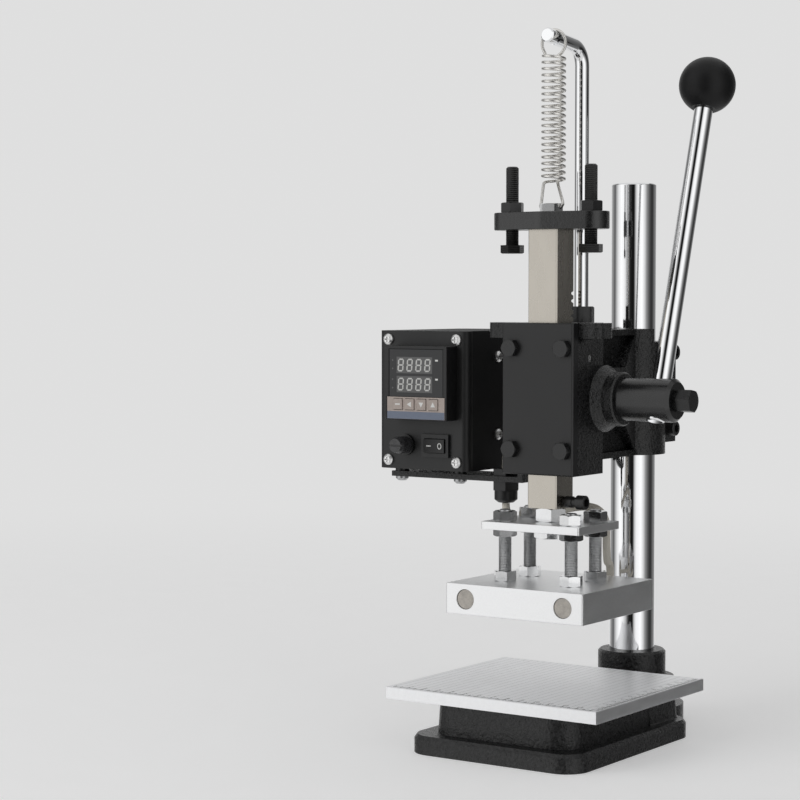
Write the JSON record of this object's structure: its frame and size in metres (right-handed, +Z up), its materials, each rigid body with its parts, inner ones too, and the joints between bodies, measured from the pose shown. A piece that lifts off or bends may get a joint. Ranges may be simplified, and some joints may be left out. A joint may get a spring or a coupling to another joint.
{
  "type": "hand lever hot foil stamping machine",
  "caption": "Bench hot foil press: ruled platform on a cast base, column, rack-and-pinion head with hand lever, spring return, heated block and temperature control box.",
  "frame": {"origin": "underside of the base, beneath the ram axis", "axes": "+X to the right seen from the front, -Y to the front, +Z up"},
  "size_m": [0.221, 0.2146, 0.4491],
  "materials": {
    "cast_black": "rough black paint over a sand casting",
    "cover_black": "satin black paint on a milled plate",
    "black_steel": "black oxide",
    "chrome": "bright plating",
    "zinc": "zinc plate",
    "ram_steel": "ground, slightly warm",
    "aluminium": "milled",
    "knob_black": "satin black phenolic",
    "box_black": "satin powder coat",
    "plastic_black": "moulded black",
    "window": "smoked window",
    "keypad": "beige key film",
    "glass_fuse": "glass tube with plated caps",
    "sleeve": "woven glass sleeve",
    "heater_end": "heat-tinted steel"
  },
  "bodies": {
    "base": {"base_casting": "cast_black", "column": "chrome", "column_screw": "black_steel", "work_platform": "aluminium", "platform_screws": "black_steel"},
    "head": {"head_casting": "cast_black", "cover_plate": "cover_black", "cover_bolts": "black_steel", "clamp_screws": "black_steel", "gib_screw": "zinc", "spring_rod": "chrome", "rod_nut": "zinc", "return_spring": "zinc", "box_bracket": "cast_black", "box_spacers": "zinc", "bracket_screws": "zinc", "box_shell": "box_black", "front_panel": "box_black", "panel_screws": "chrome", "wall_screws": "chrome", "relay": "plastic_black", "mains_inlet": "plastic_black", "cable_gland": "plastic_black", "box_lead": "sleeve", "controller_body": "plastic_black", "display_window": "window", "key_strip": "keypad", "fuse_holder": "plastic_black", "fuse_link": "glass_fuse", "switch_frame": "plastic_black"},
    "set_key_body": {"set_key": "keypad"},
    "left_key_body": {"left_key": "keypad"},
    "down_key_body": {"down_key": "keypad"},
    "up_key_body": {"up_key": "keypad"},
    "fuse_cap_body": {"fuse_cap": "plastic_black"},
    "rocker": {"switch_rocker": "plastic_black"},
    "lever": {"pinion_shaft": "black_steel", "shaft_retainer": "zinc", "lever_rod": "chrome", "ball_knob": "knob_black", "lever_lock_bolt": "black_steel"},
    "ram_group": {"ram": "ram_steel", "crossbar": "cast_black", "crossbar_bolt": "chrome", "stop_nuts": "black_steel", "coupling_nut": "zinc", "plate_bolt": "zinc", "connection_plate": "aluminium", "studs": "zinc", "plate_nuts": "zinc", "block_nuts": "zinc", "heater_block": "aluminium", "cartridge_heaters": "heater_end", "temperature_probe": "chrome", "heater_tails": "sleeve", "heater_lead": "sleeve"},
    "left_stop": {"left_stop_bolt": "black_steel"},
    "right_stop": {"right_stop_bolt": "black_steel"},
    "ram_screw_body": {"ram_screw": "black_steel"}
  },
  "joints": [
    {"name": "head_height", "type": "slide", "parent": "base", "child": "head", "axis": [0, 0, 1], "range_m": [-0.012, 0.09]},
    {"name": "lever_turn", "type": "hinge", "parent": "head", "child": "lever", "pos_m": [0, 0.02123, 0.2183], "axis": [1, 0, 0], "range_deg": [0, 150]},
    {"name": "ram_slide", "type": "slide", "parent": "head", "child": "ram_group", "axis": [0, 0, -1], "range_m": [0, 0.0315], "stiffness_N_per_m": 2300, "springref_m": -0.042, "deforming": ["return_spring", "heater_lead"]},
    {"name": "left_stop_adjust", "type": "slide", "parent": "ram_group", "child": "left_stop", "axis": [0, 0, 1], "range_m": [-0.011, 0.009]},
    {"name": "right_stop_adjust", "type": "slide", "parent": "ram_group", "child": "right_stop", "axis": [0, 0, 1], "range_m": [-0.011, 0.009]},
    {"name": "ram_screw_turn", "type": "hinge", "parent": "ram_group", "child": "ram_screw_body", "pos_m": [0, 0, 0.1542], "axis": [1, 0, 0], "range_deg": [0, 180]},
    {"name": "fuse_cap_turn", "type": "hinge", "parent": "head", "child": "fuse_cap_body", "pos_m": [-0.1099, 0, 0.1854], "axis": [0, -1, 0], "range_deg": [0, 90]},
    {"name": "rocker_turn", "type": "hinge", "parent": "head", "child": "rocker", "pos_m": [-0.0862, 0, 0.1854], "axis": [0, 0, 1], "range_deg": [-16, 0]},
    {"name": "set_key_press", "type": "slide", "parent": "head", "child": "set_key_body", "axis": [0, 1, 0], "range_m": [0, 0.0005], "stiffness_N_per_m": 300, "springref_m": -0.0005},
    {"name": "left_key_press", "type": "slide", "parent": "head", "child": "left_key_body", "axis": [0, 1, 0], "range_m": [0, 0.0005], "stiffness_N_per_m": 300, "springref_m": -0.0005},
    {"name": "down_key_press", "type": "slide", "parent": "head", "child": "down_key_body", "axis": [0, 1, 0], "range_m": [0, 0.0005], "stiffness_N_per_m": 300, "springref_m": -0.0005},
    {"name": "up_key_press", "type": "slide", "parent": "head", "child": "up_key_body", "axis": [0, 1, 0], "range_m": [0, 0.0005], "stiffness_N_per_m": 300, "springref_m": -0.0005}
  ],
  "couplings": [
    {"joint": "ram_slide", "follows": "lever_turn", "m_per_rad": 0.012}
  ]
}
